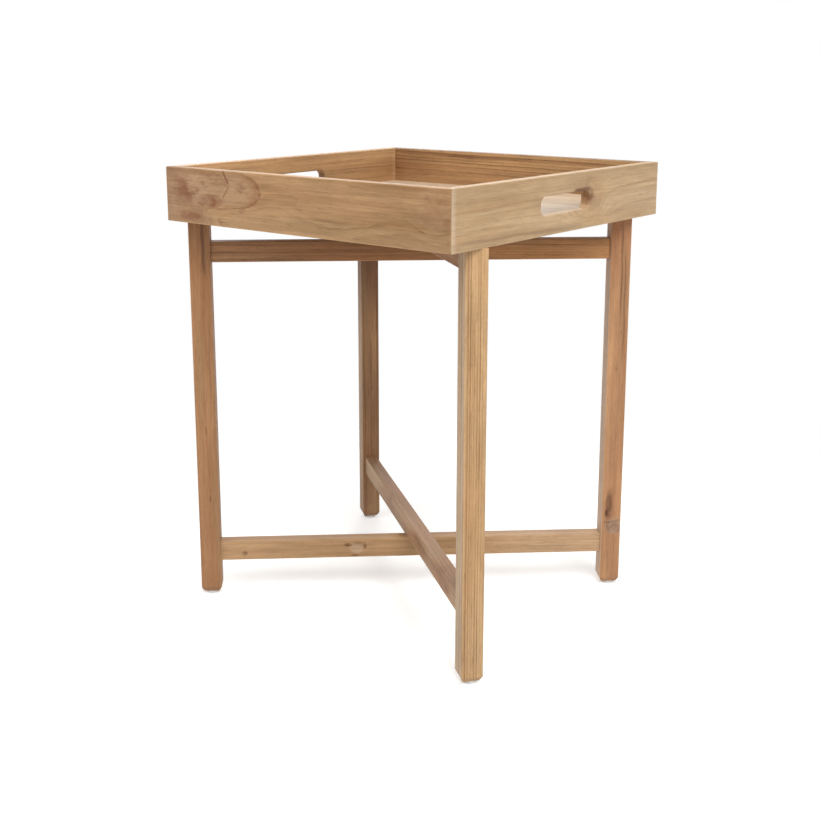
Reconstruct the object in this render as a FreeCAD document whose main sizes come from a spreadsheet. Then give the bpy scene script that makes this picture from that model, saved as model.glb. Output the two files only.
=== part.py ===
"""Tray table: a loose square tray with two hand-hold slots, on a folding cross base of two leg frames.

The origin is on the floor, on the upright axis about which the two frames fold. +Z is up and +X runs from
hand-hold to hand-hold of the tray. The rails of the under frame carry the pivots, and the rails of the over
frame turn on top of them. The tray lies on the tops of the four legs.
"""
import FreeCAD, Part
import math
import os
import re
import Sketcher

# Lengths in millimetres
LENGTHS = {
    # Tray sides: four mitred boards, two of them with a hand-hold slot
    "tray_side": 500,
    "side_height": 76,
    "side_thickness": 15,
    "side_ease": 1.5,
    "slot_length": 120,
    "slot_height": 25,
    "slot_corner": 11,
    "slot_ease": 2,
    # How far the loose tray lies from the fold axis, towards one hand-hold
    "tray_offset": 10,
    # Loose tongues glued into the mitres
    "tongue_thickness": 3,
    "tongue_width": 10,
    "tongue_stop": 16,
    "glue_gap": 0.05,
    # Tray floor: boards on a square of cleats and one batten, screwed from below
    "cleat_size": 12,
    "batten_width": 40,
    "floor_thickness": 10,
    "floor_joint": 0.3,
    "floor_ease": 0.7,
    "screw_radius": 1.75,
    "screw_head_radius": 3.4,
    "screw_head_height": 2.2,
    "screw_length": 18,
    "screw_clearance": 0.05,
    "screw_end_gap": 0.5,
    # Leg frames: two legs joined by two tenoned rails, about on the diagonals of the tray
    "leg_inset": 48.5,
    "leg_section": 30,
    "leg_length": 568.5,
    "leg_ease": 1.8,
    "leg_top_ease": 1,
    "foot_taper_width": 4,
    "foot_taper_height": 7,
    "rail_thickness": 20,
    "rail_height": 30,
    "rail_ease": 1.4,
    "under_lower_rail_bottom": 53,
    "rail_drop": 1,
    "tenon_thickness": 10,
    "tenon_height": 20,
    "tenon_length": 18,
    "mortise_end_gap": 1,
    # Nailed glides under the legs
    "glide_radius": 10.5,
    "glide_thickness": 4.5,
    "glide_ease": 1,
    "nail_radius": 1.1,
    "nail_head_radius": 3,
    "nail_head_height": 1,
    "nail_length": 16,
    "nail_recess": 0.8,
    "nail_clearance": 0.05,
    # Pivot bolts, one through each pair of crossing rails
    "bolt_radius": 3,
    "bolt_head_radius": 5,
    "bolt_head_height": 5,
    "socket_radius": 2.8,
    "socket_depth": 3,
    "pivot_clearance": 0.08,
    "counterbore_radius": 6.6,
    "washer_radius": 6.3,
    "washer_thickness": 1.2,
    "spacer_radius": 9,
    "spacer_thickness": 2,
    "nut_width": 10,
    "nut_height": 6,
    "bolt_end": 1,
    "plug_thickness": 5,
    "plug_gap": 0.3,
    # Cutting shapes run past the face that they cut by this much
    "overrun": 5,
}

# Angles in degrees, seen from above and counted from +X: the right leg of the under frame and the front leg
# of the over frame, as the frames stand open under the tray
UNDER_FRAME_ANGLE = 42.3
OVER_FRAME_ANGLE = -37.0
EIGHTH_TURN = 45
QUARTER_TURN = 90
HALF_TURN = 180

FLOOR_BOARD_COUNT = 5
CORNER_COUNT = 4
HEXAGON_SIDES = 6

# Lengths that follow from the ones above, as formulas
DERIVED = {
    "tray_half": "tray_side / 2",
    "inner_half": "tray_half - side_thickness",
    "slot_half": "slot_length / 2",
    "slot_bottom": "(side_height - slot_height) / 2",
    "slot_top": "slot_bottom + slot_height",
    "tongue_middle": "tray_half - side_thickness / 2",
    "tongue_length": "side_height - tongue_stop",
    "floor_step": f"2 * inner_half / {FLOOR_BOARD_COUNT}",
    "floor_board_half": "(floor_step - floor_joint) / 2",
    "floor_top": "cleat_size + floor_thickness",
    "end_cleat_half": "inner_half - cleat_size",
    "screw_row": "inner_half - cleat_size / 2",
    "leg_half": "leg_section / 2",
    "leg_top": "glide_thickness + leg_length",
    "frame_radius": "tray_half * sqrt(2) - leg_inset",
    "leg_spacing": "2 * frame_radius",
    "rail_half": "rail_thickness / 2",
    "rail_length": "leg_spacing - leg_section",
    "tenon_half": "tenon_thickness / 2",
    "tenon_bottom": "(rail_height - tenon_height) / 2",
    "tenon_top": "tenon_bottom + tenon_height",
    "tenon_span": "rail_length + 2 * tenon_length",
    "rail_step": "rail_height + spacer_thickness",
    "over_lower_rail_bottom": "under_lower_rail_bottom + rail_step",
    "over_upper_rail_bottom": "leg_top - rail_drop - rail_height",
    "under_upper_rail_bottom": "over_upper_rail_bottom - rail_step",
    "nail_hole_radius": "nail_radius + nail_clearance",
    "nail_head_hole_radius": "nail_head_radius + nail_clearance",
    "nail_head_top": "nail_recess + nail_head_height",
    "nail_top": "nail_head_top + nail_length",
    "pivot_hole_radius": "bolt_radius + pivot_clearance",
    "head_bore_depth": "washer_thickness + bolt_head_height + plug_gap + plug_thickness",
    "nut_bore_depth": "washer_thickness + nut_height + bolt_end",
    "nut_bottom": "bolt_end",
    "nut_washer_bottom": "nut_bottom + nut_height",
    "head_washer_bottom": "rail_step + rail_height - head_bore_depth",
    "bolt_head_bottom": "head_washer_bottom + washer_thickness",
    "bolt_top": "bolt_head_bottom + bolt_head_height",
    "plug_bottom": "bolt_top + plug_gap",
    "plug_radius": "counterbore_radius - glue_gap",
}

UP = FreeCAD.Vector(0, 0, 1)
PARALLEL_SHARE = 0.999
TOUCH_SHARE = 0.001

doc = FreeCAD.newDocument("tray_table")
sheet = doc.addObject("Spreadsheet::Sheet", "sizes")
for row, (name, content) in enumerate([*LENGTHS.items(), *DERIVED.items()], start=1):
    sheet.set(f"A{row}", name)
    sheet.set(f"B{row}", str(content) if name in LENGTHS else f"={content}")
    sheet.setAlias(f"B{row}", name)
doc.recompute()
sub_parts = []


def size(name):
    """The length that the sheet holds under this name."""
    return float(sheet.get(name))


def bind(thing, setting, formula):
    """Tie one setting of a thing to a formula in the sheet's names."""
    tied = re.sub(r"[a-z_]+", lambda word: f"sizes.{word[0]}" if is_length(word[0]) else word[0], formula)
    thing.setExpression(setting, tied)


def is_length(word):
    """Whether a word of a formula is one of the sheet's names."""
    return word in LENGTHS or word in DERIVED


def at(x=0, y=0, z=0, angle=0):
    """A place, turned about the upright axis."""
    return FreeCAD.Placement(FreeCAD.Vector(x, y, z), FreeCAD.Rotation(UP, angle))


def sub_part(thing, label, place):
    """Name a finished piece, put it in its place and keep it for writing."""
    thing.Label = label
    thing.Placement = place
    sub_parts.append(thing)


# Sketches and the features made from them


def new_body(label):
    """An empty body for one piece."""
    return doc.addObject("PartDesign::Body", label)


def outline(body, plane, *loops, offset=None):
    """A sketch of closed loops on one of the body's own planes, moved along its normal by any offset given."""
    sketch = body.newObject("Sketcher::SketchObject", "outline")
    origin_plane = next(feature for feature in body.Origin.OriginFeatures if feature.Role == plane)
    sketch.AttachmentSupport = [(origin_plane, "")]
    sketch.MapMode = "FlatFace"
    if offset:
        bind(sketch, "AttachmentOffset.Base.z", offset)
    for corners in loops:
        add_loop(sketch, corners)
    return sketch


def add_loop(sketch, corners):
    """A loop of straight lines that starts as a unit polygon and has each corner tied to two formulas."""
    first = sketch.GeometryCount
    count = len(corners)
    turns = [2 * math.pi * index / count for index in range(count)]
    points = [FreeCAD.Vector(math.cos(turn), math.sin(turn), 0) for turn in turns]
    for index, point in enumerate(points):
        sketch.addGeometry(Part.LineSegment(point, points[(index + 1) % count]), False)
    for index in range(count):
        following = first + (index + 1) % count
        sketch.addConstraint(Sketcher.Constraint("Coincident", first + index, 2, following, 1))
    for index, (point, formulas) in enumerate(zip(points, corners)):
        for kind, start, formula in zip(("DistanceX", "DistanceY"), (point.x, point.y), formulas):
            number = sketch.addConstraint(Sketcher.Constraint(kind, -1, 1, first + index, 1, start))
            bind(sketch, f"Constraints[{number}]", formula)


def rectangle(left, bottom, right, top):
    """The four corners of a rectangle."""
    return [(left, bottom), (right, bottom), (right, top), (left, top)]


def mirrored(corners):
    """The same corners on the other side of the sketch's upright axis."""
    return [(f"-({x})", y) for x, y in corners]


def pad(body, sketch, length, both_ways=False):
    """Raise a sketch to a solid."""
    feature = body.newObject("PartDesign::Pad", "pad")
    feature.Profile = sketch
    feature.Midplane = both_ways
    bind(feature, "Length", length)
    doc.recompute()


def pocket(body, sketch, length, both_ways=False):
    """Cut a sketch into the solid, against the normal of its plane."""
    before = body.Shape.Volume
    feature = body.newObject("PartDesign::Pocket", "pocket")
    feature.Profile = sketch
    feature.Midplane = both_ways
    bind(feature, "Length", length)
    check_cut(body, before)


def check_cut(body, before):
    """Make sure that the last feature of a body took material away."""
    doc.recompute()
    if not body.Shape.Volume < before:
        raise RuntimeError(f"a cut of {body.Name} takes nothing away")


def revolution(body, sketch):
    """Turn a sketch about its own upright axis to a solid."""
    feature = body.newObject("PartDesign::Revolution", "revolution")
    feature.Profile = sketch
    feature.ReferenceAxis = (sketch, ["V_Axis"])
    doc.recompute()


def groove(body, sketch):
    """Turn a sketch about its own upright axis and take it out of the solid."""
    before = body.Shape.Volume
    feature = body.newObject("PartDesign::Groove", "groove")
    feature.Profile = sketch
    feature.ReferenceAxis = (sketch, ["V_Axis"])
    check_cut(body, before)


def fillet(body, radius, chosen):
    """Round the chosen edges of a body."""
    base = body.Tip
    names = [f"Edge{number}" for number, edge in enumerate(base.Shape.Edges, start=1) if chosen(edge)]
    feature = body.newObject("PartDesign::Fillet", "fillet")
    feature.Base = (base, names)
    bind(feature, "Radius", radius)
    doc.recompute()


def runs_along(edge, axis):
    """Whether an edge is straight and runs along x, y or z."""
    return isinstance(edge.Curve, Part.Line) and abs(getattr(edge.Curve.Direction, axis)) > PARALLEL_SHARE


def lies_at(lowest, highest, name):
    """Whether a span of an edge's box is flat and lies at a named length."""
    slack = TOUCH_SHARE * size(name)
    return abs(lowest - size(name)) < slack and abs(highest - size(name)) < slack


# Plain solids, cuts and groups


def cylinder(radius, height):
    """A cylinder that stands on the origin."""
    solid = doc.addObject("Part::Cylinder", "cylinder")
    bind(solid, "Radius", radius)
    bind(solid, "Height", height)
    return solid


def box(length, width, height, corner):
    """A box with its lowest corner at a place."""
    solid = doc.addObject("Part::Box", "box")
    bind(solid, "Length", length)
    bind(solid, "Width", width)
    bind(solid, "Height", height)
    solid.Placement = corner
    return solid


def cut(base, tool):
    """One piece with the shape of another taken out of it."""
    result = doc.addObject("Part::Cut", "cut")
    result.Base = base
    result.Tool = tool
    return result


def group(pieces):
    """Separate solids that share one piece."""
    result = doc.addObject("Part::Compound", "group")
    result.Links = pieces
    return result


# Tray


def tray_place():
    """The middle of the tray's underside, on the tops of the legs."""
    return at(size("tray_offset"), 0, size("leg_top"))


def corner_tongue(angle, gap="0"):
    """A loose tongue across the mitre of one corner, larger by the gap where it cuts its own slot."""
    solid = box(f"tongue_thickness + 2 * {gap}", f"tongue_width + 2 * {gap}", f"tongue_length + {gap}", at())
    doc.recompute()
    middle = at(size("tongue_middle"), size("tongue_middle"), angle=EIGHTH_TURN)
    solid.Placement = at(angle=angle) * middle * at(-solid.Length.Value / 2, -solid.Width.Value / 2)
    return solid


def is_slot_rim(edge):
    """Whether an edge goes round the slot on the outer or the inner face of its board."""
    reach = edge.BoundBox
    on_face = any(lies_at(-reach.YMax, -reach.YMin, name) for name in ("tray_half", "inner_half"))
    return on_face and reach.ZMin > size("side_ease") and reach.ZMax < size("side_height") - size("side_ease")


def is_top_edge(edge):
    """Whether an edge is one of the two long upper edges of a side board."""
    return runs_along(edge, "x") and lies_at(edge.BoundBox.ZMin, edge.BoundBox.ZMax, "side_height")


def side_board(label, angle, tongue_slots):
    """A mitred side board, drawn with its outer face to the front and turned to its side of the tray."""
    body = new_body(f"{label}_board")
    mitred = [("-tray_half", "-tray_half"), ("tray_half", "-tray_half"),
              ("inner_half", "-inner_half"), ("-inner_half", "-inner_half")]
    pad(body, outline(body, "XY_Plane", mitred), "side_height")
    if "handle" in label:
        opening = rectangle("-slot_half", "slot_bottom", "slot_half", "slot_top")
        pocket(body, outline(body, "XZ_Plane", opening, offset="tray_half"), "side_thickness + overrun")
        fillet(body, "slot_corner", lambda edge: runs_along(edge, "y"))
        fillet(body, "slot_ease", is_slot_rim)
    fillet(body, "side_ease", is_top_edge)
    body.Placement = at(angle=angle)
    sub_part(cut(body, tongue_slots), label, tray_place())


def make_sides():
    """The four side boards and the tongues in their mitres."""
    quarters = [QUARTER_TURN * number for number in range(CORNER_COUNT)]
    tongue_slots = group([corner_tongue(angle, "glue_gap") for angle in quarters])
    labels = ["tray_front_side", "tray_right_handle_side", "tray_back_side", "tray_left_handle_side"]
    for number, (label, angle) in enumerate(zip(labels, quarters), start=1):
        side_board(label, angle, tongue_slots)
        tongue = corner_tongue(angle)
        sub_part(tongue, f"tray_corner_tongue_{number}", tray_place() * tongue.Placement)


def floor_screw(x, y, gap="0", end_gap="0"):
    """A countersunk screw driven up into the floor, or the hole for it where gaps are given."""
    head = doc.addObject("Part::Cone", "head")
    bind(head, "Radius1", f"screw_head_radius + {gap}")
    bind(head, "Radius2", f"screw_radius + {gap}")
    bind(head, "Height", "screw_head_height")
    screw = doc.addObject("Part::Fuse", "screw")
    screw.Base = cylinder(f"screw_radius + {gap}", f"screw_length + {end_gap}")
    screw.Tool = head
    bind(screw, "Placement.Base.x", x)
    bind(screw, "Placement.Base.y", y)
    return screw


def floor_board(label, middle, screw_holes):
    """One board of the floor, its upper edges eased, on the cleats and the batten."""
    body = new_body(f"{label}_board")
    section = [("-floor_board_half", "cleat_size"), ("floor_board_half", "cleat_size"),
               ("floor_board_half", "floor_top - floor_ease"), ("floor_board_half - floor_ease", "floor_top"),
               ("floor_ease - floor_board_half", "floor_top"), ("-floor_board_half", "floor_top - floor_ease")]
    pad(body, outline(body, "YZ_Plane", section), "2 * inner_half", both_ways=True)
    bind(body, "Placement.Base.y", middle)
    sub_part(cut(body, screw_holes), label, tray_place())


def make_floor():
    """The floor boards, the cleats and batten that carry them and the screws that hold them."""
    first = (FLOOR_BOARD_COUNT - 1) / 2
    middles = [f"floor_step * ({number - first})" for number in range(FLOOR_BOARD_COUNT)]
    rows = {"left_cleat": "-screw_row", "batten": "0", "right_cleat": "screw_row"}
    holes = []
    for name, x in rows.items():
        holes += [floor_screw(x, y, "screw_clearance", "screw_end_gap") for y in middles]
        sub_part(group([floor_screw(x, y) for y in middles]), f"tray_{name}_screws", tray_place())
    screw_holes = group(holes)
    for number, middle in enumerate(middles, start=1):
        floor_board(f"tray_floor_board_{number}", middle, screw_holes)

    inner = size("inner_half")
    end = size("end_cleat_half")
    for name, y in {"front": -inner, "back": end}.items():
        cleat = box("2 * inner_half", "cleat_size", "cleat_size", at())
        sub_part(cleat, f"tray_{name}_cleat", tray_place() * at(-inner, y))
    for name, x in {"left": -inner, "right": end}.items():
        cleat = box("cleat_size", "2 * end_cleat_half", "cleat_size", at(x, -end))
        sub_part(cut(cleat, screw_holes), f"tray_{name}_cleat", tray_place())
    batten = box("batten_width", "2 * end_cleat_half", "cleat_size", at(-size("batten_width") / 2, -end))
    sub_part(cut(batten, screw_holes), "tray_batten", tray_place())


# Leg frames


def leg(label, angle, rails):
    """A square leg with two mortises in the face that looks at the fold axis, and a tapered foot."""
    body = new_body(label)
    section = rectangle("-leg_half", "-leg_half", "leg_half", "leg_half")
    pad(body, outline(body, "XY_Plane", section), "leg_length")
    fillet(body, "leg_ease", lambda edge: runs_along(edge, "z"))
    fillet(body, "leg_top_ease", lambda edge: lies_at(edge.BoundBox.ZMin, edge.BoundBox.ZMax, "leg_length"))
    taper = [("leg_half - 2 * foot_taper_width", "-foot_taper_height"),
             ("leg_half + foot_taper_width", "-foot_taper_height"),
             ("leg_half + foot_taper_width", "2 * foot_taper_height")]
    for plane in ("YZ_Plane", "XZ_Plane"):
        tapers = outline(body, plane, taper, mirrored(taper))
        pocket(body, tapers, "leg_section + overrun", both_ways=True)
    for rail_name in rails:
        base = f"{rail_name}_bottom - glide_thickness"
        mortise = rectangle("-(tenon_half + glue_gap)", f"{base} + tenon_bottom - glue_gap",
                            "tenon_half + glue_gap", f"{base} + tenon_top + glue_gap")
        pocket(body, outline(body, "YZ_Plane", mortise, offset="leg_half"), "tenon_length + mortise_end_gap")
    nail_hole = rectangle("0", "-overrun", "nail_hole_radius", "nail_length")
    groove(body, outline(body, "XZ_Plane", nail_hole))
    sub_part(body, label, leg_place(angle) * at(z=size("glide_thickness"), angle=HALF_TURN))


def leg_place(angle):
    """The spot on the floor under the middle of a leg."""
    return at(angle=angle) * at(size("frame_radius"))


def rail(label, angle, bore):
    """A rail with a tenon at each end, bored upright through its middle for the pivot bolt."""
    body = new_body(label)
    section = rectangle("-rail_half", "0", "rail_half", "rail_height")
    pad(body, outline(body, "YZ_Plane", section), "rail_length", both_ways=True)
    fillet(body, "rail_ease", lambda edge: runs_along(edge, "x"))
    tenon = rectangle("-tenon_half", "tenon_bottom", "tenon_half", "tenon_top")
    pad(body, outline(body, "YZ_Plane", tenon), "tenon_span", both_ways=True)
    groove(body, outline(body, "XZ_Plane", bore))
    sub_part(body, label, at(z=size(f"{label}_bottom"), angle=angle))


def stepped_bore(low_radius, step, high_radius):
    """Half the section of a bore through a rail, with one radius below a step and another above it."""
    return [("0", "-overrun"), (low_radius, "-overrun"), (low_radius, step),
            (high_radius, step), (high_radius, "rail_height + overrun"), ("0", "rail_height + overrun")]


def glide(label, angle):
    """A round glide under a foot, held by a nail through its middle."""
    disc = new_body(label)
    disc_section = [("nail_head_hole_radius", "0"), ("glide_radius - glide_ease", "0"),
                    ("glide_radius", "glide_ease"), ("glide_radius", "glide_thickness"),
                    ("nail_hole_radius", "glide_thickness"), ("nail_hole_radius", "nail_head_top"),
                    ("nail_head_hole_radius", "nail_head_top")]
    revolution(disc, outline(disc, "XZ_Plane", disc_section))
    sub_part(disc, label, leg_place(angle))
    nail = new_body(f"{label}_nail")
    nail_section = [("0", "nail_recess"), ("nail_head_radius", "nail_recess"),
                    ("nail_head_radius", "nail_head_top"), ("nail_radius", "nail_head_top"),
                    ("nail_radius", "nail_top - 3 * nail_radius"), ("0", "nail_top - nail_radius")]
    revolution(nail, outline(nail, "XZ_Plane", nail_section))
    sub_part(nail, f"{label}_nail", leg_place(angle))


def make_frame(name, angle, legs, bore):
    """A leg frame: two legs on their glides, joined by a lower and an upper rail."""
    rails = [f"{name}_lower_rail", f"{name}_upper_rail"]
    for rail_name in rails:
        rail(rail_name, angle, bore)
    for leg_name, turn in zip(legs, (0, HALF_TURN)):
        leg(f"{name}_{leg_name}_leg", angle + turn, rails)
        glide(f"{name}_{leg_name}_glide", angle + turn)


# Pivots


def ring(radius, thickness):
    """A flat ring that the pivot bolt passes through."""
    return cut(cylinder(radius, thickness), cylinder("pivot_hole_radius", thickness))


def pivot_bolt(label, place):
    """A socket-head bolt, standing on the underside of the under rail's bore."""
    body = new_body(label)
    section = [("0", "0"), ("bolt_radius", "0"), ("bolt_radius", "bolt_head_bottom"),
               ("bolt_head_radius", "bolt_head_bottom"), ("bolt_head_radius", "bolt_top"), ("0", "bolt_top")]
    revolution(body, outline(body, "XZ_Plane", section))
    turns = [2 * math.pi * number / HEXAGON_SIDES for number in range(HEXAGON_SIDES)]
    socket = [(f"socket_radius * ({math.cos(turn)})", f"socket_radius * ({math.sin(turn)})") for turn in turns]
    pocket(body, outline(body, "XY_Plane", socket, offset="bolt_top"), "socket_depth")
    sub_part(body, label, place)


def make_pivot(name):
    """The bolt, nut, washers and plug that hold the lower or the upper pair of crossing rails together."""
    place = at(z=size(f"under_{name}_rail_bottom"))
    pivot_bolt(f"{name}_pivot_bolt", place)
    nut = doc.addObject("Part::Prism", "nut")
    nut.Polygon = HEXAGON_SIDES
    bind(nut, "Circumradius", "nut_width / sqrt(3)")
    bind(nut, "Height", "nut_height")
    bored_nut = cut(nut, cylinder("pivot_hole_radius", "nut_height"))
    sub_part(bored_nut, f"{name}_pivot_nut", place * at(z=size("nut_bottom")))
    washer = ("washer_radius", "washer_thickness")
    sub_part(ring(*washer), f"{name}_nut_washer", place * at(z=size("nut_washer_bottom")))
    sub_part(ring(*washer), f"{name}_head_washer", place * at(z=size("head_washer_bottom")))
    spacer = ring("spacer_radius", "spacer_thickness")
    sub_part(spacer, f"{name}_spacer_washer", place * at(z=size("rail_height")))
    plug = cylinder("plug_radius", "plug_thickness")
    sub_part(plug, f"{name}_pivot_plug", place * at(z=size("plug_bottom")))


def check_document():
    """Stop if anything failed to build."""
    doc.recompute()
    for thing in doc.Objects:
        if "Invalid" in thing.State or "Error" in thing.State:
            raise RuntimeError(f"{thing.Label} failed: {thing.State}")
    for thing in sub_parts:
        if thing.Shape.isNull() or not thing.Shape.isValid():
            raise RuntimeError(f"{thing.Label} has no valid shape")


nut_bore = stepped_bore("counterbore_radius", "nut_bore_depth", "pivot_hole_radius")
head_bore = stepped_bore("pivot_hole_radius", "rail_height - head_bore_depth", "counterbore_radius")
make_sides()
make_floor()
make_frame("under", UNDER_FRAME_ANGLE, ("right", "left"), nut_bore)
make_frame("over", OVER_FRAME_ANGLE, ("front", "back"), head_bore)
make_pivot("lower")
make_pivot("upper")
check_document()

os.makedirs("parts", exist_ok=True)
for thing in sub_parts:
    thing.Shape.exportStep(f"parts/{thing.Label}.step")
print(f"{len(sub_parts)} pieces written")
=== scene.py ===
"""Looks of the tray table: oiled teak boards with their own grain, zinc-plated fittings and nylon glides."""
import math
from collections import namedtuple

import bmesh
import bpy
from mathutils import Matrix, Vector


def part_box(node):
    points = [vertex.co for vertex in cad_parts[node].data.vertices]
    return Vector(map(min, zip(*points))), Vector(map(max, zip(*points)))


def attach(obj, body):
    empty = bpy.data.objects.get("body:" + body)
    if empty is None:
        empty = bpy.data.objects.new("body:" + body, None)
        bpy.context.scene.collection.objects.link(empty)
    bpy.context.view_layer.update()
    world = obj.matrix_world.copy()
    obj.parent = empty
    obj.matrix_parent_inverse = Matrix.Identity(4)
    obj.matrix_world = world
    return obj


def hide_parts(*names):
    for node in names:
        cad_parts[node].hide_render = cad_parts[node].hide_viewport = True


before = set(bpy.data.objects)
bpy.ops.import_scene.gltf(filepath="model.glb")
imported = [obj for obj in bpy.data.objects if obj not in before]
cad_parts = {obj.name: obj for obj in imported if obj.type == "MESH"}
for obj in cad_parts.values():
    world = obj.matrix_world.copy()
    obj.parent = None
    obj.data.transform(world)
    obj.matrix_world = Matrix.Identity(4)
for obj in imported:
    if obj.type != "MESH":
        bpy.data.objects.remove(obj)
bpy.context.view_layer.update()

MM = 0.001
ALONG_X = Vector((1, 0, 0))
ALONG_Y = Vector((0, 1, 0))
ALONG_Z = Vector((0, 0, 1))


def srgb(red, green, blue):
    """A colour given as it looks on a screen, 0 to 255, for a shader, by the usual curve of a screen."""
    shares = [value / 255 for value in (red, green, blue)]
    linear = [share / 12.92 if share <= 0.04045 else ((share + 0.055) / 1.055) ** 2.4 for share in shares]
    return (*linear, 1)


# Cloudy noise: how many clouds there are in a metre along each axis, its detail and its roughness, and the
# two levels between which its patches come in, if it is used for patches
Pattern = namedtuple("Pattern", "clouds detail roughness start end", defaults=(2, 0.5, 0, 1))


class Nodes:
    """Adds nodes to one tree. A value is a number, a colour, a vector or the output of another node."""

    def __init__(self, tree):
        self.tree = tree

    def add(self, kind, values=None, **settings):
        """One node with its settings and values."""
        node = self.tree.nodes.new(kind)
        for name, setting in settings.items():
            setattr(node, name, setting)
        for key, value in (values or {}).items():
            self.put(node.inputs[key], value)
        return node

    def put(self, socket, value):
        """Give a socket a value, or link it."""
        if isinstance(value, bpy.types.NodeSocket):
            self.tree.links.new(value, socket)
        else:
            socket.default_value = value

    def math(self, operation, *values, clamp=False):
        """One step of arithmetic with one, two or three numbers."""
        node = self.add("ShaderNodeMath", dict(enumerate(values)), operation=operation, use_clamp=clamp)
        return node.outputs[0]

    def vector(self, operation, *values):
        """One step of arithmetic with vectors."""
        node = self.add("ShaderNodeVectorMath", dict(enumerate(values)), operation=operation)
        return node.outputs["Value" if operation in ("LENGTH", "DOT_PRODUCT") else "Vector"]

    def add_up(self, start, *terms):
        """A number with a share of each of some values added to it."""
        total = start
        for value, share in terms:
            total = self.math("MULTIPLY_ADD", value, share, total)
        return total

    def from_middle(self, value):
        """How far a value of 0 to 1 lies above its middle."""
        return self.math("SUBTRACT", value, 0.5)

    def parts(self, vector):
        """The three parts of a vector."""
        return self.add("ShaderNodeSeparateXYZ", {0: vector}).outputs[:]

    def join(self, x, y, z):
        """A vector of three parts."""
        return self.add("ShaderNodeCombineXYZ", {0: x, 1: y, 2: z}).outputs[0]

    def noise(self, place, pattern, colour=False):
        """The cloudy noise of a pattern."""
        spread = self.vector("MULTIPLY", place, pattern.clouds)
        values = {"Vector": spread, "Scale": 1, "Detail": pattern.detail, "Roughness": pattern.roughness}
        return self.add("ShaderNodeTexNoise", values).outputs["Color" if colour else "Fac"]

    def patches(self, place, pattern, low=0, high=1):
        """Soft patches of a pattern, from low between them to high inside them."""
        return self.ease(self.noise(place, pattern), pattern.start, pattern.end, low, high)

    def drift(self, place, pattern, reach):
        """A push to and fro by a pattern, with its own reach along each axis."""
        push = self.vector("SUBTRACT", self.noise(place, pattern, colour=True), (0.5, 0.5, 0.5))
        return self.vector("MULTIPLY", push, reach)

    def ease(self, value, start, end, low=0, high=1):
        """A soft step from low to high while the value goes from start to end."""
        values = {"Value": value, "From Min": start, "From Max": end, "To Min": low, "To Max": high}
        return self.add("ShaderNodeMapRange", values, interpolation_type="SMOOTHSTEP").outputs[0]

    def blend(self, share, first, second, way="MIX"):
        """The first colour with a share of the second."""
        node = self.add("ShaderNodeMix", {0: share, 6: first, 7: second}, data_type="RGBA", blend_type=way)
        return node.outputs[2]

    def curve(self, value, points):
        """A number read off a line through points."""
        node = self.add("ShaderNodeValToRGB", {0: value})
        while len(node.color_ramp.elements) < len(points):
            node.color_ramp.elements.new(0.5)
        for element, (position, level) in zip(node.color_ramp.elements, points):
            element.position = position
            element.color = (level, level, level, 1)
        return node.outputs[0]


def add_sockets(tree, way, kinds):
    """Give a node group its inputs or its outputs."""
    for name, kind in kinds.items():
        tree.interface.new_socket(name=name, in_out=way, socket_type=f"NodeSocket{kind}")


def new_material(name):
    """A new material, what adds nodes to it, and its shader."""
    material = bpy.data.materials.new(name)
    material.use_nodes = True
    return material, Nodes(material.node_tree), material.node_tree.nodes["Principled BSDF"]


def add_bumps(nodes, shader, height, strength, depth):
    """Make the surface of a shader uneven."""
    bump = nodes.add("ShaderNodeBump", {"Height": height, "Strength": strength, "Distance": depth})
    nodes.put(shader.inputs["Normal"], bump.outputs[0])


def finish_node(node, material):
    """Put a material on every slot of a frame node."""
    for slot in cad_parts[node].material_slots:
        slot.material = material


# Growth rings: how far the seed of a board moves its patterns along it, how far slow noise bends the rings,
# in shares of a board's wander, how many rings the years drift, how dark the late wood of one year is from
# its start to its end, and how faint a year and a part of a line may be
SEED_STEP = 7.31
BEND = Pattern((2.4, 15, 15))
BEND_REACH = (0, 2, 2)
YEARS = Pattern((0.31, 1, 1), 1)
YEARS_DRIFT = 4.5
LATE_WOOD = ((0, 0), (0.45, 0.12), (0.8, 0.75), (0.93, 1), (1, 0))
FAINTEST_YEAR = 0.2
FADE = Pattern((5, 45, 45), start=0.32, end=0.66)
FAINTEST_LINE = 0.3


def growth_rings(nodes, given, own):
    """The late wood of rings round a heart that leans along the board, and the dark lines that it draws."""
    x, y, z = nodes.parts(given["Place"])
    bend_y, bend_z = nodes.parts(nodes.drift(own, BEND, BEND_REACH))[1:]
    lean, heart_y, heart_z = nodes.parts(given["Heart"])
    off_y = nodes.math("SUBTRACT", nodes.math("MULTIPLY_ADD", x, lean, y), heart_y)
    off_y = nodes.math("MULTIPLY_ADD", bend_y, given["Wander"], off_y)
    off_z = nodes.math("SUBTRACT", z, heart_z)
    off_z = nodes.math("MULTIPLY_ADD", bend_z, given["Wander"], off_z)
    reach = nodes.vector("LENGTH", nodes.join(off_y, off_z, 0))
    ring = nodes.math("DIVIDE", nodes.math("ADD", reach, given["Swell"]), given["Ring"])
    years = nodes.noise(nodes.join(ring, given["Seed"], 0), YEARS)
    ring = nodes.math("MULTIPLY_ADD", years, YEARS_DRIFT, ring)
    late = nodes.curve(nodes.math("FRACT", ring), LATE_WOOD)
    year = nodes.math("ADD", nodes.math("FLOOR", ring), given["Seed"])
    depth = nodes.add("ShaderNodeTexWhiteNoise", {"W": year}, noise_dimensions="1D").outputs["Value"]
    line = nodes.math("MULTIPLY", late, nodes.math("MULTIPLY_ADD", depth, 1 - FAINTEST_YEAR, FAINTEST_YEAR))
    return late, nodes.math("MULTIPLY", line, nodes.patches(own, FADE, low=FAINTEST_LINE))


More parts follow.
